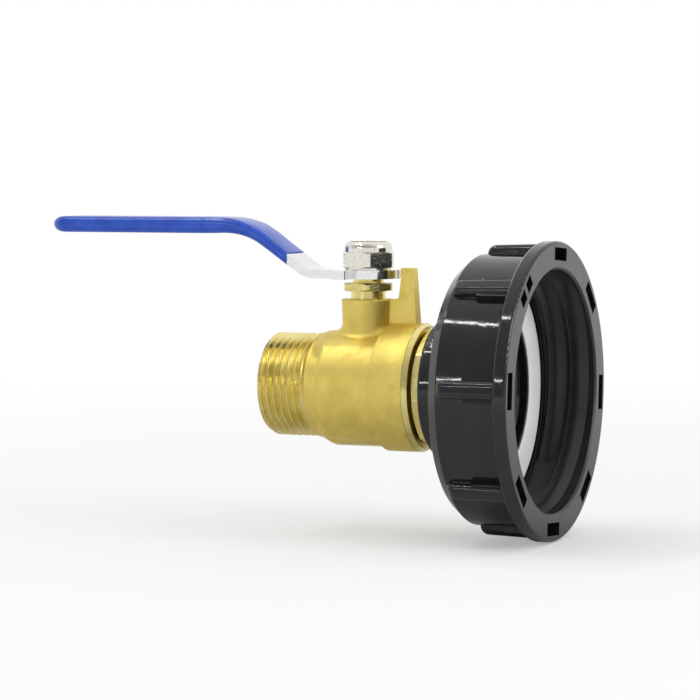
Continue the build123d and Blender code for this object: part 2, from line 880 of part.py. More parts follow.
nodes = {
    "valve_body": valve_body,
    "outlet_seat": lambda: seat(-1),
    "inlet_seat": lambda: seat(1),
    "ball": ball,
    "stem": stem,
    "stem_washer": stem_washer,
    "stem_packing": stem_packing,
    "packing_follower": packing_follower,
    "gland_nut": gland_nut,
    "lever": lever,
    "lever_grip": lever_grip,
    "spring_washer": spring_washer,
    "handle_nut": handle_nut,
    "nut_insert": nut_insert,
    "inlet_connector": inlet_connector,
    "connector_washer": connector_washer,
    "stub_o_ring": stub_o_ring,
    "tail_piece": tail_piece,
    "tank_seal": tank_seal,
    "coupling_nut": coupling_nut,
}

for node, make in nodes.items():
    export_step(make(), f"parts/{node}.step")
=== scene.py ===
"""Studio model of a brass ball valve on a swivelling container nut.

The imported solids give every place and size. This file cuts the threads, gives each piece its finish
and sets the studio. Lengths are metres, +X runs out of the nut's mouth and +Z runs up the stem.
"""

from __future__ import annotations

import json
import logging
import math
from dataclasses import dataclass, field
from enum import Enum

import bmesh
import bpy
from mathutils import Matrix, Vector

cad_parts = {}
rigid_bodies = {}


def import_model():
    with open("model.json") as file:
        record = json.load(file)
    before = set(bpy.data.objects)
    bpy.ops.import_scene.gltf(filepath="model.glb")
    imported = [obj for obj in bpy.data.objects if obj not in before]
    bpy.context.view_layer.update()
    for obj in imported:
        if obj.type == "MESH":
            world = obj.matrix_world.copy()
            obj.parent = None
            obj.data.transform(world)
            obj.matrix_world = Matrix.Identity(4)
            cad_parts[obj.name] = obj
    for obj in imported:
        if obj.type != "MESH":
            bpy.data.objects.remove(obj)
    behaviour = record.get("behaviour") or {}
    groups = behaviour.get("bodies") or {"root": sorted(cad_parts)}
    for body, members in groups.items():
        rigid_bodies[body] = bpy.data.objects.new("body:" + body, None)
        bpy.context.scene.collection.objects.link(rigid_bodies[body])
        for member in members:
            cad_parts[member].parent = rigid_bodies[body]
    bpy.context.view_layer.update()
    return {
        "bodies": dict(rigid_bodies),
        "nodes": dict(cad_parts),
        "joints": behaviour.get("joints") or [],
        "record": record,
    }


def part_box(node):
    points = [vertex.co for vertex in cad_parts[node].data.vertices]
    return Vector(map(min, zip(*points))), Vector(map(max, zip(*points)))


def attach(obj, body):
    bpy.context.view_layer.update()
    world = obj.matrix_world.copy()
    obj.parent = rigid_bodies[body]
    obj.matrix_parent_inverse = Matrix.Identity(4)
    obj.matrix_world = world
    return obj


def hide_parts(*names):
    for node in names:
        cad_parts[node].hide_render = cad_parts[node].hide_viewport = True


LOG = logging.getLogger("tank_valve")
MILLIMETRE = 0.001
CLOSE = 0.00001
WELD = 1e-6
TOUCH = 1e-7

Colour = tuple[float, float, float]
Triple = tuple[float, float, float]


def soft_step(share: float) -> float:
    """Ease a share in and out, so that it starts and ends level."""
    return share * share * (3.0 - 2.0 * share)


class TurningAxis(Enum):
    """The line that a turned face was spun about."""

    PIPE = "pipe"
    STEM = "stem"


@dataclass(frozen=True)
class Layout:
    """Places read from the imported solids."""

    stem_x: float
    outlet_face: float
    inlet_face: float
    floor: float
    strap_low: float
    strap_high: float
    grip_tip: float

    @classmethod
    def read(cls) -> Layout:
        """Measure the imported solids.

        Returns:
            The places that the dressed pieces share.
        """
        stem_low, stem_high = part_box("stem")
        body_low, body_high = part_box("valve_body")
        lever_low, lever_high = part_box("lever")
        return cls(
            stem_x=(stem_low.x + stem_high.x) / 2,
            outlet_face=body_low.x,
            inlet_face=body_high.x,
            floor=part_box("coupling_nut")[0].z,
            strap_low=lever_low.z,
            strap_high=lever_high.z,
            grip_tip=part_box("lever_grip")[0].x,
        )


class NodeBoard:
    """Lays out nodes on an empty tree.

    A Mix node's colour sockets share their names with its other sockets, so they go by number.
    """

    mix_colours = (6, 7)
    mix_result = 2

    def __init__(self, tree: bpy.types.NodeTree) -> None:
        """Clear the tree.

        Args:
            tree: The node tree of a material or a world.
        """
        self.tree = tree
        tree.nodes.clear()

    def add(self, kind: str, **settings: object) -> bpy.types.Node:
        """Add a node.

        Args:
            kind: Blender's name of the node's type.
            settings: Properties to set on it.

        Returns:
            The new node.
        """
        node = self.tree.nodes.new(kind)
        for name, value in settings.items():
            setattr(node, name, value)
        return node

    def link(self, source: bpy.types.NodeSocket, target: bpy.types.NodeSocket) -> None:
        """Join an output to an input."""
        self.tree.links.new(source, target)

    def part(self, vector: bpy.types.NodeSocket, axis: str) -> bpy.types.NodeSocket:
        """Take one part of a vector.

        Args:
            vector: Socket of the vector.
            axis: Name of the part, X, Y or Z.

        Returns:
            The part.
        """
        split = self.add("ShaderNodeSeparateXYZ")
        self.link(vector, split.inputs["Vector"])
        return split.outputs[axis]

    def length(self, vector: bpy.types.NodeSocket) -> bpy.types.NodeSocket:
        """Measure a vector.

        Args:
            vector: Socket of the vector.

        Returns:
            Its length.
        """
        node = self.add("ShaderNodeVectorMath", operation="LENGTH")
        self.link(vector, node.inputs[0])
        return node.outputs["Value"]

    def between(
        self,
        value: bpy.types.NodeSocket,
        low: float,
        high: float,
        start: float = 0.3,
        end: float = 0.7,
    ) -> bpy.types.NodeSocket:
        """Map a value smoothly from one range to another.

        Args:
            value: Socket to read.
            low: Result at the start of the range.
            high: Result at its end.
            start: Lowest value read.
            end: Highest value read.

        Returns:
            The mapped value.
        """
        node = self.add("ShaderNodeMapRange", interpolation_type="SMOOTHSTEP")
        limits = {"From Min": start, "From Max": end, "To Min": low, "To Max": high}
        for name, number in limits.items():
            node.inputs[name].default_value = number
        self.link(value, node.inputs["Value"])
        return node.outputs["Result"]

    def math(
        self, operation: str, first: bpy.types.NodeSocket, second: bpy.types.NodeSocket | float
    ) -> bpy.types.NodeSocket:
        """Work out one sum.

        Args:
            operation: Blender's name of the sum.
            first: First socket.
            second: Second socket, or a number.

        Returns:
            The result.
        """
        node = self.add("ShaderNodeMath", operation=operation)
        self.link(first, node.inputs[0])
        if isinstance(second, float):
            node.inputs[1].default_value = second
        else:
            self.link(second, node.inputs[1])
        return node.outputs["Value"]

    def mix(
        self,
        share: bpy.types.NodeSocket,
        first: Colour | bpy.types.NodeSocket,
        second: Colour | bpy.types.NodeSocket,
    ) -> bpy.types.NodeSocket:
        """Blend two colours.

        Args:
            share: How much of the second colour shows.
            first: Colour at 0.
            second: Colour at 1.

        Returns:
            The blended colour.
        """
        node = self.add("ShaderNodeMix", data_type="RGBA")
        self.link(share, node.inputs["Factor"])
        for number, colour in zip(self.mix_colours, (first, second)):
            socket = node.inputs[number]
            if isinstance(colour, tuple):
                socket.default_value = (*colour, 1.0)
            else:
                self.link(colour, socket)
        return node.outputs[self.mix_result]

    def mirrored(self, path: bpy.types.Node) -> bpy.types.NodeSocket:
        """Whether a ray was mirrored or came through glass.

        Args:
            path: The Light Path node to ask.

        Returns:
            1 on such a ray, else 0.
        """
        glossy, glass = path.outputs["Is Glossy Ray"], path.outputs["Is Transmission Ray"]
        return self.math("MAXIMUM", glossy, glass)


class NodeBench(NodeBoard):
    """Lays out the nodes of one material."""

    def __init__(self, name: str) -> None:
        """Start a material with its shader and output.

        Args:
            name: Name of the finish.
        """
        self.material = bpy.data.materials.new(name)
        self.material.use_nodes = True
        super().__init__(self.material.node_tree)
        self.shader = self.add("ShaderNodeBsdfPrincipled")
        self.surface = self.add("ShaderNodeOutputMaterial").inputs["Surface"]
        self.link(self.shader.outputs["BSDF"], self.surface)
        self.place = self.add("ShaderNodeTexCoord").outputs["Object"]

    def set(self, **values: object) -> None:
        """Set sockets of the shader by name, with underscores for spaces."""
        for name, value in values.items():
            self.shader.inputs[name.replace("_", " ")].default_value = value

    def radius(self, axis: TurningAxis, centre: float = 0.0) -> bpy.types.NodeSocket:
        """Distance of a place from a turning axis.

        Args:
            axis: The axis.
            centre: Place of the stem's axis along the pipe.

        Returns:
            The distance in metres.
        """
        mapping = self.add("ShaderNodeMapping")
        mapping.inputs["Scale"].default_value = (0.0, 1.0, 1.0)
        if axis is TurningAxis.STEM:
            mapping.inputs["Scale"].default_value = (1.0, 1.0, 0.0)
            mapping.inputs["Location"].default_value = (-centre, 0.0, 0.0)
        self.link(self.place, mapping.inputs["Vector"])
        return self.length(mapping.outputs["Vector"])

    def noise(self, size: float, detail: float = 2.0, rough: float = 0.5) -> bpy.types.NodeSocket:
        """Noise with blobs of a given size.

        Args:
            size: Width of a blob in metres.
            detail: Octaves of finer noise.
            rough: Strength of the finer octaves.

        Returns:
            The noise's value socket.
        """
        node = self.add("ShaderNodeTexNoise")
        node.inputs["Scale"].default_value = 1.0 / size
        node.inputs["Detail"].default_value = detail
        node.inputs["Roughness"].default_value = rough
        self.link(self.place, node.inputs["Vector"])
        return node.outputs["Fac"]

    def bump(
        self,
        height: bpy.types.NodeSocket,
        depth: float,
        over: bpy.types.NodeSocket | None = None,
    ) -> bpy.types.NodeSocket:
        """Turn a height into a surface normal.

        Args:
            height: Value from 0 to 1.
            depth: Height of the relief in metres.
            over: Normal that the relief lies on.

        Returns:
            The new normal.
        """
        node = self.add("ShaderNodeBump")
        node.inputs["Distance"].default_value = depth
        self.link(height, node.inputs["Height"])
        if over is not None:
            self.link(over, node.inputs["Normal"])
        return node.outputs["Normal"]

    def finish(
        self,
        colour: bpy.types.NodeSocket,
        roughness: bpy.types.NodeSocket,
        normal: bpy.types.NodeSocket,
    ) -> bpy.types.Material:
        """Join the three patterns to the shader.

        Args:
            colour: Base colour.
            roughness: Roughness.
            normal: Surface normal.

        Returns:
            The finished material.
        """
        self.link(colour, self.shader.inputs["Base Color"])
        self.link(roughness, self.shader.inputs["Roughness"])
        self.link(normal, self.shader.inputs["Normal"])
        return self.material


@dataclass(frozen=True)
class BlastedBrass:
    """Forged brass with a fine blasted skin."""

    deep: Colour = (0.74, 0.575, 0.135)
    pale: Colour = (0.92, 0.74, 0.205)
    grain: float = 0.0003
    grain_depth: float = 0.00003
    dimple: float = 0.0011
    dimple_depth: float = 0.000024
    cloud: float = 0.005
    dull: tuple[float, float] = (0.44, 0.54)

    def material(self) -> bpy.types.Material:
        """Grainy satin brass with soft clouds of colour."""
        bench = NodeBench("forged_brass")
        bench.set(Metallic=1.0)
        cloud = bench.noise(self.cloud, detail=4.0)
        dimple = bench.noise(self.dimple, detail=3.0)
        grain = bench.noise(self.grain, detail=2.0, rough=0.7)
        soft_cloud = bench.between(cloud, 0.0, 1.0, start=0.2, end=0.8)
        mottle = bench.math("MULTIPLY", bench.between(grain, 0.55, 1.0), soft_cloud)
        colour = bench.mix(mottle, self.deep, self.pale)
        roughness = bench.between(dimple, *self.dull)
        relief = bench.bump(dimple, self.dimple_depth)
        return bench.finish(colour, roughness, bench.bump(grain, self.grain_depth, relief))


@dataclass(frozen=True)
class TurnedBrass:
    """Machined brass with the tool's fine rings."""

    axis: TurningAxis
    centre: float
    deep: Colour = (0.77, 0.64, 0.22)
    pale: Colour = (0.89, 0.77, 0.33)
    ring_pitch: float = 0.00016
    ring_depth: float = 0.0000022
    cloud: float = 0.005
    smear: float = 0.00125
    smear_depth: float = 0.0000088
    dull: tuple[float, float] = (0.19, 0.29)

    def material(self) -> bpy.types.Material:
        """Bright brass with rings about its turning axis."""
        bench = NodeBench(f"turned_brass_{self.axis.value}")
        bench.set(Metallic=1.0)
        along = bench.part(bench.place, "Z" if self.axis is TurningAxis.STEM else "X")
        travel = bench.math("ADD", bench.radius(self.axis, self.centre), along)
        turns = bench.math("MULTIPLY", travel, 2.0 * math.pi / self.ring_pitch)
        rings = bench.math("SINE", turns, 0.0)
        cloud = bench.noise(self.cloud, detail=4.0)
        colour = bench.mix(bench.between(cloud, 0.0, 1.0), self.deep, self.pale)
        roughness = bench.between(cloud, *self.dull)
        smear = bench.bump(bench.noise(self.smear, detail=3.0), self.smear_depth)
        return bench.finish(colour, roughness, bench.bump(rings, self.ring_depth, smear))


@dataclass(frozen=True)
class ChromePlate:
    """Bright plating over pressed steel."""

    name: str = "bright_plate"
    base: Colour = (0.80, 0.80, 0.81)
    worn: Colour = (0.62, 0.62, 0.64)
    ripple: float = 0.0022
    ripple_depth: float = 0.000022
    speck: float = 0.0006
    dull: tuple[float, float] = (0.06, 0.22)

    def material(self) -> bpy.types.Material:
        """Mirror-like plate with ripples and small dull specks."""
        bench = NodeBench(self.name)
        bench.set(Metallic=1.0)
        speck = bench.noise(self.speck, detail=3.0, rough=0.6)
        ripple = bench.noise(self.ripple, detail=2.0)
        spots = bench.between(speck, 0.0, 1.0, start=0.60, end=0.72)
        colour = bench.mix(spots, self.base, self.worn)
        roughness = bench.between(speck, *self.dull, start=0.45, end=0.75)
        return bench.finish(colour, roughness, bench.bump(ripple, self.ripple_depth))


@dataclass(frozen=True)
class DippedVinyl:
    """Thick vinyl that the lever was dipped in."""

    deep: Colour = (0.006, 0.055, 0.42)
    pale: Colour = (0.012, 0.080, 0.50)
    sag: float = 0.006
    sag_depth: float = 0.00007
    pore: float = 0.0004
    pore_depth: float = 0.000002
    dull: tuple[float, float] = (0.17, 0.24)

    def material(self) -> bpy.types.Material:
        """Glossy blue skin with soft sags and fine pores."""
        bench = NodeBench("grip_vinyl")
        bench.set(IOR=1.5, Specular_IOR_Level=0.5)
        sag = bench.noise(self.sag, detail=2.0)
        pore = bench.noise(self.pore, detail=2.0)
        colour = bench.mix(bench.between(sag, 0.0, 1.0), self.deep, self.pale)
        roughness = bench.between(pore, *self.dull)
        relief = bench.bump(sag, self.sag_depth)
        return bench.finish(colour, roughness, bench.bump(pore, self.pore_depth, relief))


@dataclass(frozen=True)
class MouldedPlastic:
    """Glossy black moulding."""

    deep: Colour = (0.0065, 0.0072, 0.0082)
    pale: Colour = (0.0100, 0.0108, 0.0120)
    ripple: float = 0.0045
    ripple_depth: float = 0.000045
    scuff: float = 0.0005
    scuff_depth: float = 0.000002
    dull: tuple[float, float] = (0.06, 0.16)
    mouth_depth: float = 0.015
    mouth_radius: float = 0.031
    mouth_edge: float = 0.0004
    mouth_dull: float = 0.34

    def material(self) -> bpy.types.Material:
        """Black gloss with the ripples of a cooled moulding, scuffs and a duller nut mouth."""
        bench = NodeBench("black_plastic")
        bench.set(IOR=1.5, Specular_IOR_Level=0.5)
        ripple = bench.noise(self.ripple, detail=2.0)
        scuff = bench.noise(self.scuff, detail=4.0, rough=0.65)
        colour = bench.mix(bench.between(ripple, 0.0, 1.0), self.deep, self.pale)
        gloss = bench.between(scuff, *self.dull, start=0.45, end=0.80)
        roughness = bench.math("ADD", gloss, self.mouth(bench))
        relief = bench.bump(ripple, self.ripple_depth)
        return bench.finish(colour, roughness, bench.bump(scuff, self.scuff_depth, relief))

    def mouth(self, bench: NodeBench) -> bpy.types.NodeSocket:
        """Roughness that the inner wall of the nut's mouth has on top of the rest.

        Args:
            bench: The nodes of the finish.

        Returns:
            The added roughness.
        """
        inside = bench.between(
            bench.radius(TurningAxis.PIPE),
            self.mouth_dull,
            0.0,
            start=self.mouth_radius - self.mouth_edge,
            end=self.mouth_radius + self.mouth_edge,
        )
        ahead = bench.between(
            bench.part(bench.place, "X"),
            0.0,
            1.0,
            start=-self.mouth_depth - self.mouth_edge,
            end=-self.mouth_depth + self.mouth_edge,
        )
        return bench.math("MULTIPLY", inside, ahead)


@dataclass(frozen=True)
class DullMoulding:
    """Matt rubber or waxy plastic in one shade, with speckle."""

    name: str
    deep: Colour
    pale: Colour
    dull: tuple[float, float]
    speckle: float = 0.0005
    cloud: float = 0.006
    relief_depth: float = 0.00001

    def material(self) -> bpy.types.Material:
        """Speckled matt skin."""
        bench = NodeBench(self.name)
        bench.set(IOR=1.45, Specular_IOR_Level=0.4)
        speckle = bench.noise(self.speckle, detail=4.0, rough=0.6)
        cloud = bench.noise(self.cloud, detail=3.0)
        patches = bench.between(cloud, 0.4, 1.0)
        share = bench.math("MULTIPLY", bench.between(speckle, 0.3, 1.0), patches)
        colour = bench.mix(share, self.deep, self.pale)
        roughness = bench.between(speckle, *self.dull)
        return bench.finish(colour, roughness, bench.bump(speckle, self.relief_depth))


class Shelf:
    """The finishes, each made once."""

    def __init__(self, layout: Layout) -> None:
        """Make every finish.

        Args:
            layout: Places of the model, for the turned finishes.
        """
        self.forged_brass = BlastedBrass().material()
        self.pipe_brass = TurnedBrass(TurningAxis.PIPE, 0.0).material()
        self.stem_brass = TurnedBrass(TurningAxis.STEM, layout.stem_x).material()
        self.chrome = ChromePlate().material()
        self.bright_nut = ChromePlate(
            "nut_plate", (0.76, 0.74, 0.66), (0.52, 0.50, 0.43), ripple=0.006, ripple_depth=0.00001
        ).material()
        self.vinyl = DippedVinyl().material()
        self.black_plastic = MouldedPlastic().material()
        self.gasket = DullMoulding(
            "seal_rubber", (0.74, 0.75, 0.72), (0.86, 0.86, 0.84), (0.48, 0.62)
        ).material()
        self.black_rubber = DullMoulding(
            "black_rubber", (0.012, 0.012, 0.013), (0.028, 0.028, 0.030), (0.5, 0.7)
        ).material()
        # painted shade: the washer is a real part, but its dark brown stands in for brass in shadow
        # in the gap between ring and connector
        self.fibre = DullMoulding(
            "washer_painted_shade", (0.15, 0.10, 0.022), (0.26, 0.19, 0.05), (0.45, 0.6)
        ).material()
        self.waxy_white = DullMoulding(
            "seat_plastic", (0.70, 0.70, 0.67), (0.84, 0.84, 0.81), (0.34, 0.46)
        ).material()


def dress(node: bpy.types.Object, material: bpy.types.Material) -> None:
    """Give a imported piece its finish.

    Args:
        node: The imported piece.
        material: Its finish.
    """
    if not node.material_slots:
        node.data.materials.append(material)
    for slot in node.material_slots:
        slot.material = material
    LOG.info("%s wears %s", node.name, material.name)


def smooth_by_angle(mesh: bmesh.types.BMesh, limit: float) -> None:
    """Shade faces smoothly across every edge flatter than a limit.

    Args:
        mesh: The mesh to shade.
        limit: Angle in radians above which an edge stays sharp.
    """
    for face in mesh.faces:
        face.smooth = True
    for edge in mesh.edges:
        edge.smooth = edge.is_manifold and edge.calc_face_angle(0.0) < limit


def placed(
    mesh: bmesh.types.BMesh, name: str, materials: list[bpy.types.Material]
) -> bpy.types.Object:
    """Turn a finished mesh into an object of the scene.

    Args:
        mesh: The finished mesh, which is freed.
        name: Name of the piece.
        materials: Finishes in the order of the faces' indices.

    Returns:
        The new object.
    """
    data = bpy.data.meshes.new(name)
    mesh.to_mesh(data)
    mesh.free()
    for material in materials:
        data.materials.append(material)
    piece = bpy.data.objects.new(name, data)
    bpy.context.scene.collection.objects.link(piece)
    LOG.info("%s has %d faces", name, len(data.polygons))
    return piece


def merged_copy(node: bpy.types.Object) -> bmesh.types.BMesh:
    """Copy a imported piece's mesh with its loose triangles joined.

    Args:
        node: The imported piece.

    Returns:
        The joined mesh.
    """
    mesh = bmesh.new()
    mesh.from_mesh(node.data)
    bmesh.ops.remove_doubles(mesh, verts=mesh.verts, dist=TOUCH)
    return mesh


def join_loops(
    mesh: bmesh.types.BMesh,
    edges: list[bmesh.types.BMEdge],
    apart: set[bmesh.types.BMVert],
    gap: float,
) -> None:
    """Bridge two loops that lie in one plane, held apart along X while they are joined.

    Args:
        mesh: The mesh that holds both loops.
        edges: The edges of both loops.
        apart: The points of the loop that is moved and put back.
        gap: How far it is moved.
    """
    for vert in apart:
        vert.co.x += gap
    bmesh.ops.bridge_loops(mesh, edges=edges)
    for vert in apart:
        vert.co.x -= gap


@dataclass(frozen=True)
class ScrewThread:
    """Helical thread about the pipe's axis, cut from crest to root."""

    start: float
    end: float
    crest: float
    root: float
    pitch: float
    lead_in: float
    run_out: float
    steps: int = 96
    turns_before: int = 2
    turns_after: int = 1
    flank_shares: tuple[tuple[float, float], ...] = (
        (0.0, 0.0),
        (0.055, 0.03),
        (0.11, 0.16),
        (0.39, 0.86),
        (0.445, 0.97),
        (0.5, 1.0),
    )

    def ribbon(self) -> bmesh.types.BMesh:
        """Spin the groove's profile along its helix and trim both ends.

        Returns:
            The open threaded surface.
        """
        mesh = bmesh.new()
        depth = self.crest - self.root
        first = self.start - self.turns_before * self.pitch
        falling = [(1.0 - share, rise) for share, rise in reversed(self.flank_shares[:-1])]
        points = [
            mesh.verts.new((first + share * self.pitch, 0.0, self.root + rise * depth))
            for share, rise in (*self.flank_shares, *falling)
        ]
        edges = [mesh.edges.new(pair) for pair in zip(points, points[1:])]
        turns = math.ceil((self.end - self.start) / self.pitch)
        turns += self.turns_before + self.turns_after
        bmesh.ops.spin(
            mesh,
            geom=points + edges,
            cent=(0.0, 0.0, 0.0),
            axis=(1.0, 0.0, 0.0),
            dvec=(self.pitch / self.steps, 0.0, 0.0),
            angle=2 * math.pi * turns,
            steps=self.steps * turns,
            use_merge=False,
        )
        bmesh.ops.remove_doubles(mesh, verts=mesh.verts, dist=WELD)
        for cut, outward in ((self.start, -1.0), (self.end, 1.0)):
            bmesh.ops.bisect_plane(
                mesh,
                geom=mesh.verts[:] + mesh.edges[:] + mesh.faces[:],
                dist=TOUCH,
                plane_co=(cut, 0.0, 0.0),
                plane_no=(outward, 0.0, 0.0),
                clear_outer=True,
            )
        for vert in mesh.verts:
            self.trim(vert)
        return mesh

    def trim(self, vert: bmesh.types.BMVert) -> None:
        """Bring a point inside the chamfer and up the run-out.

        Args:
            vert: A point of the threaded surface.
        """
        radius = math.hypot(vert.co.y, vert.co.z)
        ceiling = self.crest - max(0.0, self.lead_in - (vert.co.x - self.start))
        left = max(0.0, 1.0 - (self.end - vert.co.x) / self.run_out)
        floor = self.root + (self.crest - self.root) * left**2
        wanted = max(min(radius, ceiling), min(floor, ceiling))
        vert.co.y *= wanted / radius
        vert.co.z *= wanted / radius

    def cut_into(self, mesh: bmesh.types.BMesh) -> None:
        """Swap the plain grooves of a mesh for the threaded surface.

        Args:
            mesh: The joined mesh of the whole piece.
        """
        plain = []
        for face in mesh.faces:
            middle = face.calc_center_median()
            radius = math.hypot(middle.y, middle.z)
            inside = self.start + CLOSE < middle.x < self.end - CLOSE
            if inside and self.root - self.lead_in / 2 < radius < self.crest + CLOSE:
                plain.append(face)
        bmesh.ops.delete(mesh, geom=plain, context="FACES")
        old = {edge for edge in mesh.edges if edge.is_boundary}
        ribbon = self.ribbon()
        scratch = bpy.data.meshes.new("thread")
        ribbon.to_mesh(scratch)
        ribbon.free()
        mesh.from_mesh(scratch)
        bpy.data.meshes.remove(scratch)
        loose = [edge for edge in mesh.edges if edge.is_boundary]
        for plane, outward in ((self.start, -self.pitch), (self.end, self.pitch)):
            loops = [e for e in loose if max(abs(vert.co.x - plane) for vert in e.verts) < CLOSE]
            apart = {vert for edge in old.intersection(loops) for vert in edge.verts}
            LOG.info("thread end at %.4f joins %d edges", plane, len(loops))
            join_loops(mesh, loops, apart, outward)
        bmesh.ops.recalc_face_normals(mesh, faces=mesh.faces)


@dataclass
class BrassBody:
    """Forged body with its threaded outlet spigot."""

    frame: dict
    layout: Layout
    shelf: Shelf
    thread_length: float = 13.4 * MILLIMETRE
    crest: float = 13.22 * MILLIMETRE
    root: float = 12.06 * MILLIMETRE
    pitch: float = 1.814 * MILLIMETRE
    chamfer: float = 1.0 * MILLIMETRE
    lip_length: float = 1.45 * MILLIMETRE
    bore_radius: float = 12.6 * MILLIMETRE
    stem_bore: float = 5.3 * MILLIMETRE
    ramp_start: float = 14.2 * MILLIMETRE
    ramp_end: float = 18.0 * MILLIMETRE
    neck_radius: float = 13.42 * MILLIMETRE
    middle_radius: float = 15.4 * MILLIMETRE
    step_top: float = 10.354 * MILLIMETRE
    step_bottom: float = -11.879 * MILLIMETRE
    blend_length: float = 3.2 * MILLIMETRE
    blend_cuts: int = 8
    edge_share: float = 0.01
    smooth_limit: float = math.radians(32)

    def is_machined(self, face: bmesh.types.BMFace) -> bool:
        """Whether a face was turned bright after forging.

        Args:
            face: A face of the body.

        Returns:
            True on the thread, both ends, the bores and the top of the boss.
        """
        middle = face.calc_center_median()
        radius = math.hypot(middle.y, middle.z)
        reach = math.hypot(middle.x - self.layout.stem_x, middle.y)
        threaded = middle.x < self.layout.outlet_face + self.thread_length
        lip = middle.x > self.layout.inlet_face - self.lip_length
        bored = radius < self.bore_radius or reach < self.stem_bore
        return threaded or lip or bored

    def blend_step(self, mesh: bmesh.types.BMesh, ledge: float) -> None:
        """Let the steep side of the shoulder run out softly into its ramp.

        Args:
            mesh: The joined mesh of the body.
            ledge: Height of the ledge where the side step ends.
        """
        start = self.layout.outlet_face + self.ramp_start
        end = self.layout.outlet_face + self.ramp_end
        side = math.copysign(1.0, ledge)
        for index in range(self.blend_cuts + 1):
            share = index / self.blend_cuts
            along = start + share * (end - start)
            down = ledge - side * share * self.blend_length
            for place, facing in (((along, 0.0, 0.0), "X"), ((0.0, 0.0, down), "Z")):
                near = [face for face in mesh.faces if start < face.calc_center_median().x < end]
                bmesh.ops.bisect_plane(
                    mesh,
                    geom=list({item for face in near for item in (face, *face.edges, *face.verts)}),
                    dist=TOUCH,
                    plane_co=place,
                    plane_no=(float(facing == "X"), 0.0, float(facing == "Z")),
                )
        for vert in mesh.verts:
            depth = (side * ledge - side * vert.co.z) / self.blend_length
            radius = math.hypot(vert.co.y, vert.co.z)
            along = (vert.co.x - start) / (end - start)
            reached = -self.edge_share < depth < 1.0 and 0.0 <= along <= 1.0
            if reached and radius > self.neck_radius - CLOSE:
                rise = along * (self.middle_radius - self.neck_radius)
                wanted = max(radius, self.neck_radius + rise * soft_step(1.0 - max(0.0, depth)))
                vert.co.y = math.copysign(math.sqrt(wanted**2 - vert.co.z**2), vert.co.y)
        bmesh.ops.dissolve_degenerate(mesh, edges=mesh.edges, dist=WELD)

    def build(self) -> bpy.types.Object:
        """Cut the thread, mark the machined faces and place the body.

        Returns:
            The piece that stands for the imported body.
        """
        mesh = merged_copy(self.frame["nodes"]["valve_body"])
        thread = ScrewThread(
            start=self.layout.outlet_face,
            end=self.layout.outlet_face + self.thread_length,
            crest=self.crest,
            root=self.root,
            pitch=self.pitch,
            lead_in=self.chamfer,
            run_out=self.pitch,
        )
        thread.cut_into(mesh)
        self.blend_step(mesh, self.step_top)
        self.blend_step(mesh, self.step_bottom)
        for face in mesh.faces:
            face.material_index = int(self.is_machined(face))
        smooth_by_angle(mesh, self.smooth_limit)
        piece = placed(mesh, "brass_body", [self.shelf.forged_brass, self.shelf.pipe_brass])
        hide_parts("valve_body")
        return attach(piece, "valve")


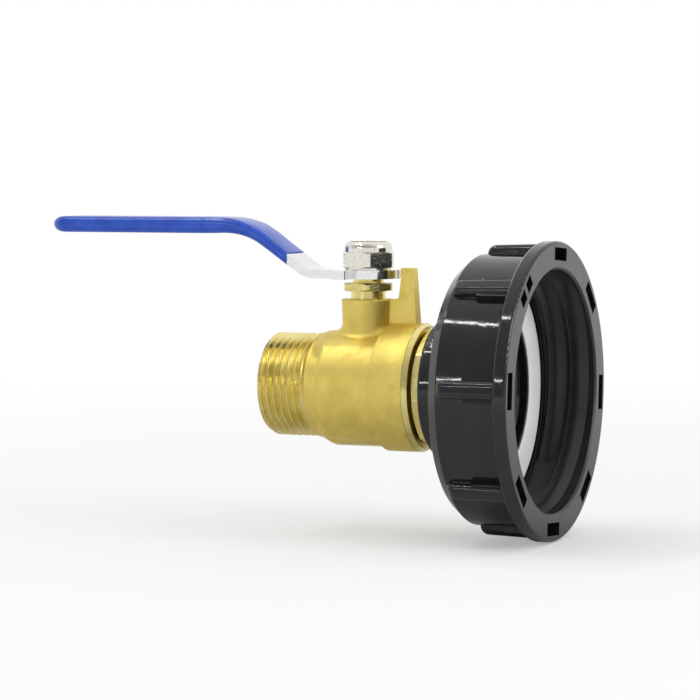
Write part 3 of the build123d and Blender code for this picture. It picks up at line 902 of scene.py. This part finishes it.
@dataclass
class ContainerNut:
    """Ribbed swivel nut with its coarse inner thread."""

    frame: dict
    shelf: Shelf
    wall: float = 30.4 * MILLIMETRE
    crest: float = 29.1 * MILLIMETRE
    pitch: float = 6.0 * MILLIMETRE
    land: float = 2.4 * MILLIMETRE
    mouth_flank: float = 2.3 * MILLIMETRE
    back_flank: float = 0.6 * MILLIMETRE
    sunk: float = 0.3 * MILLIMETRE
    deepest: float = -11.0 * MILLIMETRE
    start_angle: float = math.radians(228.0)
    turns: float = 1.3
    steps: int = 120
    taper_share: float = 0.08
    rounding: float = 0.6 * MILLIMETRE
    rounding_cuts: int = 5
    smooth_limit: float = math.radians(25)

    def ridge(self) -> bmesh.types.BMesh:
        """Spin the ridge's profile along its helix, thinner towards both ends.

        Returns:
            The ridge, open at both ends.
        """
        mesh = bmesh.new()
        sink_share = 1.0 + self.sunk / (self.wall - self.crest)
        buried = self.wall + self.sunk
        profile = [
            (self.deepest - self.land - self.back_flank * sink_share, buried),
            (self.deepest - self.land, self.crest),
            (self.deepest, self.crest),
            (self.deepest + self.mouth_flank * sink_share, buried),
        ]
        turn = Matrix.Rotation(self.start_angle, 3, "X")
        points = [mesh.verts.new(turn @ Vector((x, 0.0, radius))) for x, radius in profile]
        edges = [mesh.edges.new(pair) for pair in zip(points, points[1:] + points[:1])]
        steps = int(self.steps * self.turns)
        bmesh.ops.spin(
            mesh,
            geom=points + edges,
            cent=(0.0, 0.0, 0.0),
            axis=(1.0, 0.0, 0.0),
            dvec=(self.turns * self.pitch / steps, 0.0, 0.0),
            angle=2 * math.pi * self.turns,
            steps=steps,
            use_merge=False,
        )
        for index, vert in enumerate(mesh.verts):
            share = (index // len(profile)) / steps
            near_end = min(share, 1.0 - share) / self.taper_share
            radius = math.hypot(vert.co.y, vert.co.z)
            if near_end < 1.0 and radius < self.wall:
                wanted = self.wall + (radius - self.wall) * math.sqrt(near_end)
                vert.co.y *= wanted / radius
                vert.co.z *= wanted / radius
        return mesh

    def build(self) -> bpy.types.Object:
        """Dress the moulding and close and round the thread's ridge inside it.

        Returns:
            The ridge piece.
        """
        dress(self.frame["nodes"]["coupling_nut"], self.shelf.black_plastic)
        mesh = self.ridge()
        bmesh.ops.holes_fill(mesh, edges=[e for e in mesh.edges if e.is_boundary], sides=4)
        bmesh.ops.bevel(
            mesh,
            geom=[e for e in mesh.edges if self.on_crest(e)],
            offset=self.rounding,
            segments=self.rounding_cuts,
            profile=0.5,
            affect="EDGES",
            material=-1,
        )
        bmesh.ops.recalc_face_normals(mesh, faces=mesh.faces)
        smooth_by_angle(mesh, self.smooth_limit)
        piece = placed(mesh, "nut_thread", [self.shelf.black_plastic])
        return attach(piece, "nut")

    def on_crest(self, edge: bmesh.types.BMEdge) -> bool:
        """Whether an edge runs along the ridge's crest.

        Args:
            edge: An edge of the ridge.

        Returns:
            True on the edges that are rounded.
        """
        low = max(math.hypot(v.co.y, v.co.z) for v in edge.verts) < self.wall - self.sunk
        along = abs(edge.verts[0].co.x - edge.verts[1].co.x) < self.land / 2
        return low and along


@dataclass
class GripSleeve:
    """Dipped sleeve with a soft bend and tip, thinner along the slope down to its mouth."""

    layout: Layout
    shelf: Shelf
    strap_thickness: float = 2.2 * MILLIMETRE
    strap_width: float = 11.0 * MILLIMETRE
    strap_bend: float = 9.0 * MILLIMETRE
    tip_flat: float = 2.0 * MILLIMETRE
    lower_reach: float = 15.0 * MILLIMETRE
    upper_reach: float = 32.4 * MILLIMETRE
    mouth_reach: float = 20.4 * MILLIMETRE
    wall: float = 1.15 * MILLIMETRE
    mouth_wall: float = 0.45 * MILLIMETRE
    thin_until: float = 4.0 * MILLIMETRE
    thick_from: float = 26.0 * MILLIMETRE
    bend: float = 20.0 * MILLIMETRE
    tip_length: float = 5.0 * MILLIMETRE
    corner: float = 1.6 * MILLIMETRE
    corner_share: float = 0.9
    crown: float = 0.25 * MILLIMETRE
    fit: float = 0.03 * MILLIMETRE
    ring_points: int = 56
    stations: int = 72
    tip_stations: int = 16
    smooth_limit: float = math.radians(40)

    def spot(self, travel: float, radius: float) -> tuple[Vector, float]:
        """Follow the strap's centre line up its slope and round its bend.

        Args:
            travel: Distance along the line from the mouth.
            radius: Radius of the bend.

        Returns:
            The point and the slope's angle there.
        """
        middle = self.layout.strap_low + self.strap_thickness / 2
        rise = self.layout.strap_high - self.layout.strap_low - self.strap_thickness
        slope = math.atan2(rise, self.upper_reach - self.lower_reach)
        corner = Vector((self.layout.stem_x - self.upper_reach, 0.0, middle + rise))
        uphill = Vector((-math.cos(slope), 0.0, math.sin(slope)))
        tangent = radius * math.tan(slope / 2)
        straight = (self.upper_reach - self.mouth_reach) / math.cos(slope) - tangent
        start = corner - uphill * tangent
        if travel < straight:
            return start - uphill * (straight - travel), slope
        centre = start + Vector((-math.sin(slope), 0.0, -math.cos(slope))) * radius
        angle = max(0.0, slope - (travel - straight) / radius)
        past = max(0.0, travel - straight - slope * radius)
        offset = Vector((math.sin(angle) * radius - past, 0.0, math.cos(angle) * radius))
        return centre + offset, angle

    def length(self, radius: float, tip: float) -> float:
        """Measure the centre line from the mouth to a tip.

        Args:
            radius: Radius of the bend.
            tip: Place of the tip along X.

        Returns:
            The length.
        """
        far = self.layout.stem_x - self.layout.grip_tip
        return far + self.spot(far, radius)[0].x - tip

    def round_length(self, inner: bool) -> float:
        """Length of a skin's rounded tip, seen from above."""
        return (self.strap_width - self.tip_flat) / 2 + (0.0 if inner else self.wall)

    def travels(self, length: float, round_length: float) -> list[float]:
        """Space the rings evenly up to the rounded tip and closer over it.

        Args:
            length: Distance from the mouth to the tip.
            round_length: Length of the rounded tip.

        Returns:
            Distances from the mouth.
        """
        straight = [(length - round_length) * i / self.stations for i in range(self.stations + 1)]
        quarter = math.pi / 2 / self.tip_stations
        shares = [1.0 - math.sin(quarter * i) for i in range(1, self.tip_stations)]
        return [*straight, *(length - round_length * share for share in shares), length - CLOSE]

    def loft(self, mesh: bmesh.types.BMesh, inner: bool) -> list[bmesh.types.BMEdge]:
        """Sweep one skin of the sleeve from its mouth to its closed tip.

        Args:
            mesh: The mesh that takes the skin.
            inner: Whether it is the skin that lies on the strap.

        Returns:
            The edges of the skin's open mouth.
        """
        radius = self.strap_bend if inner else self.bend
        tip = self.layout.grip_tip + (self.wall - self.fit if inner else 0.0)
        length = self.length(radius, tip)
        travels = self.travels(length, self.round_length(inner))
        ring = bmesh.ops.create_circle(mesh, segments=self.ring_points, radius=1.0)["verts"]
        spread = [math.atan2(vert.co.y, vert.co.x) + math.pi / self.ring_points for vert in ring]
        edges = list({edge for vert in ring for edge in vert.link_edges})
        mouth = edges
        for index, travel in enumerate(travels):
            if index:
                grown = bmesh.ops.extrude_edge_only(mesh, edges=edges)["geom"]
                fresh = {item for item in grown if isinstance(item, bmesh.types.BMVert)}
                grown_edges = [item for item in grown if isinstance(item, bmesh.types.BMEdge)]
                edges = [edge for edge in grown_edges if fresh.issuperset(edge.verts)]
                after = {}
                for vert in fresh:
                    rail = next(edge for edge in vert.link_edges if edge not in edges)
                    after[rail.other_vert(vert)] = vert
                ring = [after[vert] for vert in ring]
            for vert, angle in zip(ring, spread):
                vert.co = self.skin_point(travel, length, radius, angle, inner)
            if not index:
                self.cut_upright(ring)
        bmesh.ops.contextual_create(mesh, geom=edges)
        return mouth

    def skin_point(
        self, travel: float, length: float, radius: float, turn: float, inner: bool
    ) -> Vector:
        """Place one point of a skin.

        Args:
            travel: Distance from the mouth.
            length: Distance from the mouth to the skin's tip.
            radius: Radius of the bend.
            turn: Angle of the point round the section.
            inner: Whether the skin lies on the strap.

        Returns:
            The point.
        """
        share = (travel - self.thin_until) / (self.thick_from - self.thin_until)
        grown = (self.wall - self.mouth_wall) * soft_step(min(1.0, max(0.0, share)))
        skin = self.fit if inner else self.mouth_wall + grown
        round_length = self.round_length(inner)
        left = max(0.0, 1.0 - (length - travel) / round_length)
        drawn_in = round_length * (1.0 - math.sqrt(max(0.0, 1.0 - left**2)))
        half_width = self.strap_width / 2 + skin - drawn_in
        half_height = self.strap_thickness / 2 + skin
        if not inner:
            soft = max(0.0, 1.0 - (length - travel) / self.tip_length)
            half_height *= math.sqrt(max(0.0, 1.0 - soft**2))
        most = self.corner_share * min(half_height, half_width)
        corner = min(CLOSE if inner else self.corner, most)
        across, up = math.cos(turn), math.sin(turn)
        across = math.copysign(half_width - corner, across) + corner * across
        up = math.copysign(half_height - corner, up) + corner * up
        if not inner:
            crown = self.crown / half_height * min(1.0, half_height / self.wall)
            up *= 1.0 - crown * (across / half_width) ** 2
        point, angle = self.spot(travel, radius)
        return point + Vector((math.sin(angle) * up, across, math.cos(angle) * up))

    def cut_upright(self, ring: list[bmesh.types.BMVert]) -> None:
        """Slide the mouth's points along the slope into one upright plane.

        Args:
            ring: The points round the mouth.
        """
        point, angle = self.spot(0.0, self.bend)
        for vert in ring:
            missing = point.x - vert.co.x
            vert.co += Vector((missing, 0.0, -missing * math.tan(angle)))

    def build(self) -> bpy.types.Object:
        """Sweep both skins, join them at the mouth and place the sleeve.

        Returns:
            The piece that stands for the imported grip.
        """
        mesh = bmesh.new()
        outer = self.loft(mesh, inner=False)
        inner = self.loft(mesh, inner=True)
        apart = {vert for edge in inner for vert in edge.verts}
        join_loops(mesh, outer + inner, apart, self.strap_width)
        bmesh.ops.recalc_face_normals(mesh, faces=mesh.faces)
        smooth_by_angle(mesh, self.smooth_limit)
        piece = placed(mesh, "grip_sleeve", [self.shelf.vinyl])
        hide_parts("lever_grip")
        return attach(piece, "handle")


@dataclass
class SmallParts:
    """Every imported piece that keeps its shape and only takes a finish."""

    frame: dict
    shelf: Shelf
    finishes: dict[str, str] = field(
        default_factory=lambda: {
            "outlet_seat": "waxy_white",
            "inlet_seat": "waxy_white",
            "stem_washer": "waxy_white",
            "stem_packing": "waxy_white",
            "nut_insert": "waxy_white",
            "ball": "chrome",
            "lever": "chrome",
            "spring_washer": "bright_nut",
            "handle_nut": "bright_nut",
            "stem": "stem_brass",
            "gland_nut": "stem_brass",
            "packing_follower": "stem_brass",
            "inlet_connector": "pipe_brass",
            # painted shade: the washer's dark brown stands in for the shaded gap between ring and
            # connector
            "connector_washer": "fibre",
            "stub_o_ring": "black_rubber",
            "tail_piece": "black_plastic",
            "tank_seal": "gasket",
        }
    )

    def build(self) -> None:
        """Dress each piece."""
        for name, finish in self.finishes.items():
            dress(self.frame["nodes"][name], getattr(self.shelf, finish))


@dataclass(frozen=True)
class SoftLamp:
    """One area lamp that faces the object, in metres and watts."""

    name: str
    place: Triple
    size: tuple[float, float]
    power: float

    def hang(self, target: Vector) -> None:
        """Hang the lamp.

        Args:
            target: The place that it faces.
        """
        data = bpy.data.lights.new(self.name, "AREA")
        data.shape = "RECTANGLE"
        data.size, data.size_y = self.size
        data.energy = self.power
        lamp = bpy.data.objects.new(self.name, data)
        lamp.location = self.place
        lamp.rotation_euler = (target - lamp.location).to_track_quat("-Z", "Y").to_euler()
        bpy.context.scene.collection.objects.link(lamp)


@dataclass
class Studio:
    """Pale floor, soft lamps and the camera."""

    layout: Layout
    lens: float = 154.29
    sensor: float = 36.0
    target: Triple = (-0.0559, 0.0, 0.00903)
    azimuth: float = 23.17
    elevation: float = 3.5
    distance: float = 0.766
    floor_gap: float = 0.3 * MILLIMETRE
    floor_reach: float = 6.0
    fill: float = 0.78
    # painted shade: the floor's colour as seen in reflections, darker than the camera sees it
    shaded: float = 0.66
    room: float = 0.44
    room_back: float = -0.95
    room_front: float = 0.1
    near_glow: float = 0.35
    shadow_reach: float = 0.10
    glow_reach: float = 0.60
    shade_size: float = 0.4
    shade: tuple[float, float] = (0.88, 0.91)
    lamps: tuple[SoftLamp, ...] = (
        SoftLamp("front_strip", (-0.43, -0.343, 0.778), (0.5, 0.014), 0.80),
        SoftLamp("top_strip", (-0.43, 0.03, 0.85), (0.5, 0.014), 0.95),
        SoftLamp("short_strip", (-0.32, -0.70, 0.15), (0.22, 0.012), 0.25),
        SoftLamp("mouth_lamp", (0.75, -0.12, 0.30), (0.4, 0.4), 2.0),
    )

    def build(self) -> None:
        """Set the backdrop, the floor, the lamps and the camera."""
        self.set_world()
        self.lay_floor()
        for lamp in self.lamps:
            lamp.hang(Vector(self.target))
        self.set_camera()

    def set_world(self) -> None:
        """White backdrop that metal shows too, dimmer behind the camera, with a softer fill."""
        world = bpy.data.worlds.new("studio")
        bpy.context.scene.world = world
        world.use_nodes = True
        board = NodeBoard(world.node_tree)
        facing = board.part(board.add("ShaderNodeTexCoord").outputs["Generated"], "Y")
        room = board.between(facing, self.room, 1.0, start=self.room_back, end=self.room_front)
        path = board.add("ShaderNodeLightPath")
        level = board.mix(board.mirrored(path), (self.fill,) * 3, room)
        level = board.mix(path.outputs["Is Camera Ray"], level, (1.0, 1.0, 1.0))
        background = board.add("ShaderNodeBackground")
        board.link(level, background.inputs["Color"])
        output = board.add("ShaderNodeOutputWorld")
        board.link(background.outputs["Background"], output.inputs["Surface"])

    def lay_floor(self) -> None:
        """A white floor that keeps the object's shadow and runs into the backdrop far off, with a
        painted shade that darkens it in reflections near the object.
        """
        mesh = bmesh.new()
        bmesh.ops.create_grid(mesh, x_segments=1, y_segments=1, size=self.floor_reach)
        level = self.layout.floor - self.floor_gap
        bmesh.ops.translate(mesh, verts=mesh.verts, vec=(0.0, 0.0, level))
        bench = NodeBench("studio_floor")
        bench.set(Roughness=0.9, Specular_IOR_Level=0.1)
        low, high = self.shade
        pale = bench.mix(bench.noise(self.shade_size), (low,) * 3, (high,) * 3)
        path = bench.add("ShaderNodeLightPath")
        mirrored = bench.mirrored(path)
        # painted shade: mirrored rays see a darker floor near the object, which darkens the metal's
        # undersides
        bench.link(bench.mix(mirrored, pale, (self.shaded,) * 3), bench.shader.inputs["Base Color"])
        offset = bench.length(bench.place)
        reach = (self.shadow_reach, self.glow_reach)
        seen = bench.between(offset, self.near_glow, 1.0, *reach)
        seen = bench.math("MULTIPLY", seen, path.outputs["Is Camera Ray"])
        shown = bench.math("MULTIPLY", bench.between(offset, 0.0, 1.0, *reach), mirrored)
        glow = bench.add("ShaderNodeEmission")
        glow.inputs["Strength"].default_value = 1.0
        mix = bench.add("ShaderNodeMixShader")
        bench.link(bench.math("MAXIMUM", seen, shown), mix.inputs["Fac"])
        bench.link(bench.shader.outputs["BSDF"], mix.inputs[1])
        bench.link(glow.outputs["Emission"], mix.inputs[2])
        bench.link(mix.outputs["Shader"], bench.surface)
        placed(mesh, "floor", [bench.material])

    def set_camera(self) -> None:
        """Place the camera at the photograph's angle."""
        azimuth, elevation = math.radians(self.azimuth), math.radians(self.elevation)
        back = Vector(
            (
                math.sin(azimuth) * math.cos(elevation),
                -math.cos(azimuth) * math.cos(elevation),
                math.sin(elevation),
            )
        )
        data = bpy.data.cameras.new("camera")
        data.sensor_width = self.sensor
        data.lens = self.lens
        camera = bpy.data.objects.new("camera", data)
        camera.location = Vector(self.target) + back * self.distance
        camera.rotation_euler = back.to_track_quat("Z", "Y").to_euler()
        bpy.context.scene.collection.objects.link(camera)
        bpy.context.scene.camera = camera
        bpy.context.scene.view_settings.view_transform = "Standard"


def main() -> None:
    """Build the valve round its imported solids."""
    logging.basicConfig(level=logging.INFO, format="%(name)s: %(message)s")
    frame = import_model()
    layout = Layout.read()
    shelf = Shelf(layout)
    BrassBody(frame, layout, shelf).build()
    ContainerNut(frame, shelf).build()
    GripSleeve(layout, shelf).build()
    SmallParts(frame, shelf).build()
    Studio(layout).build()


if __name__ == "__main__":
    main()
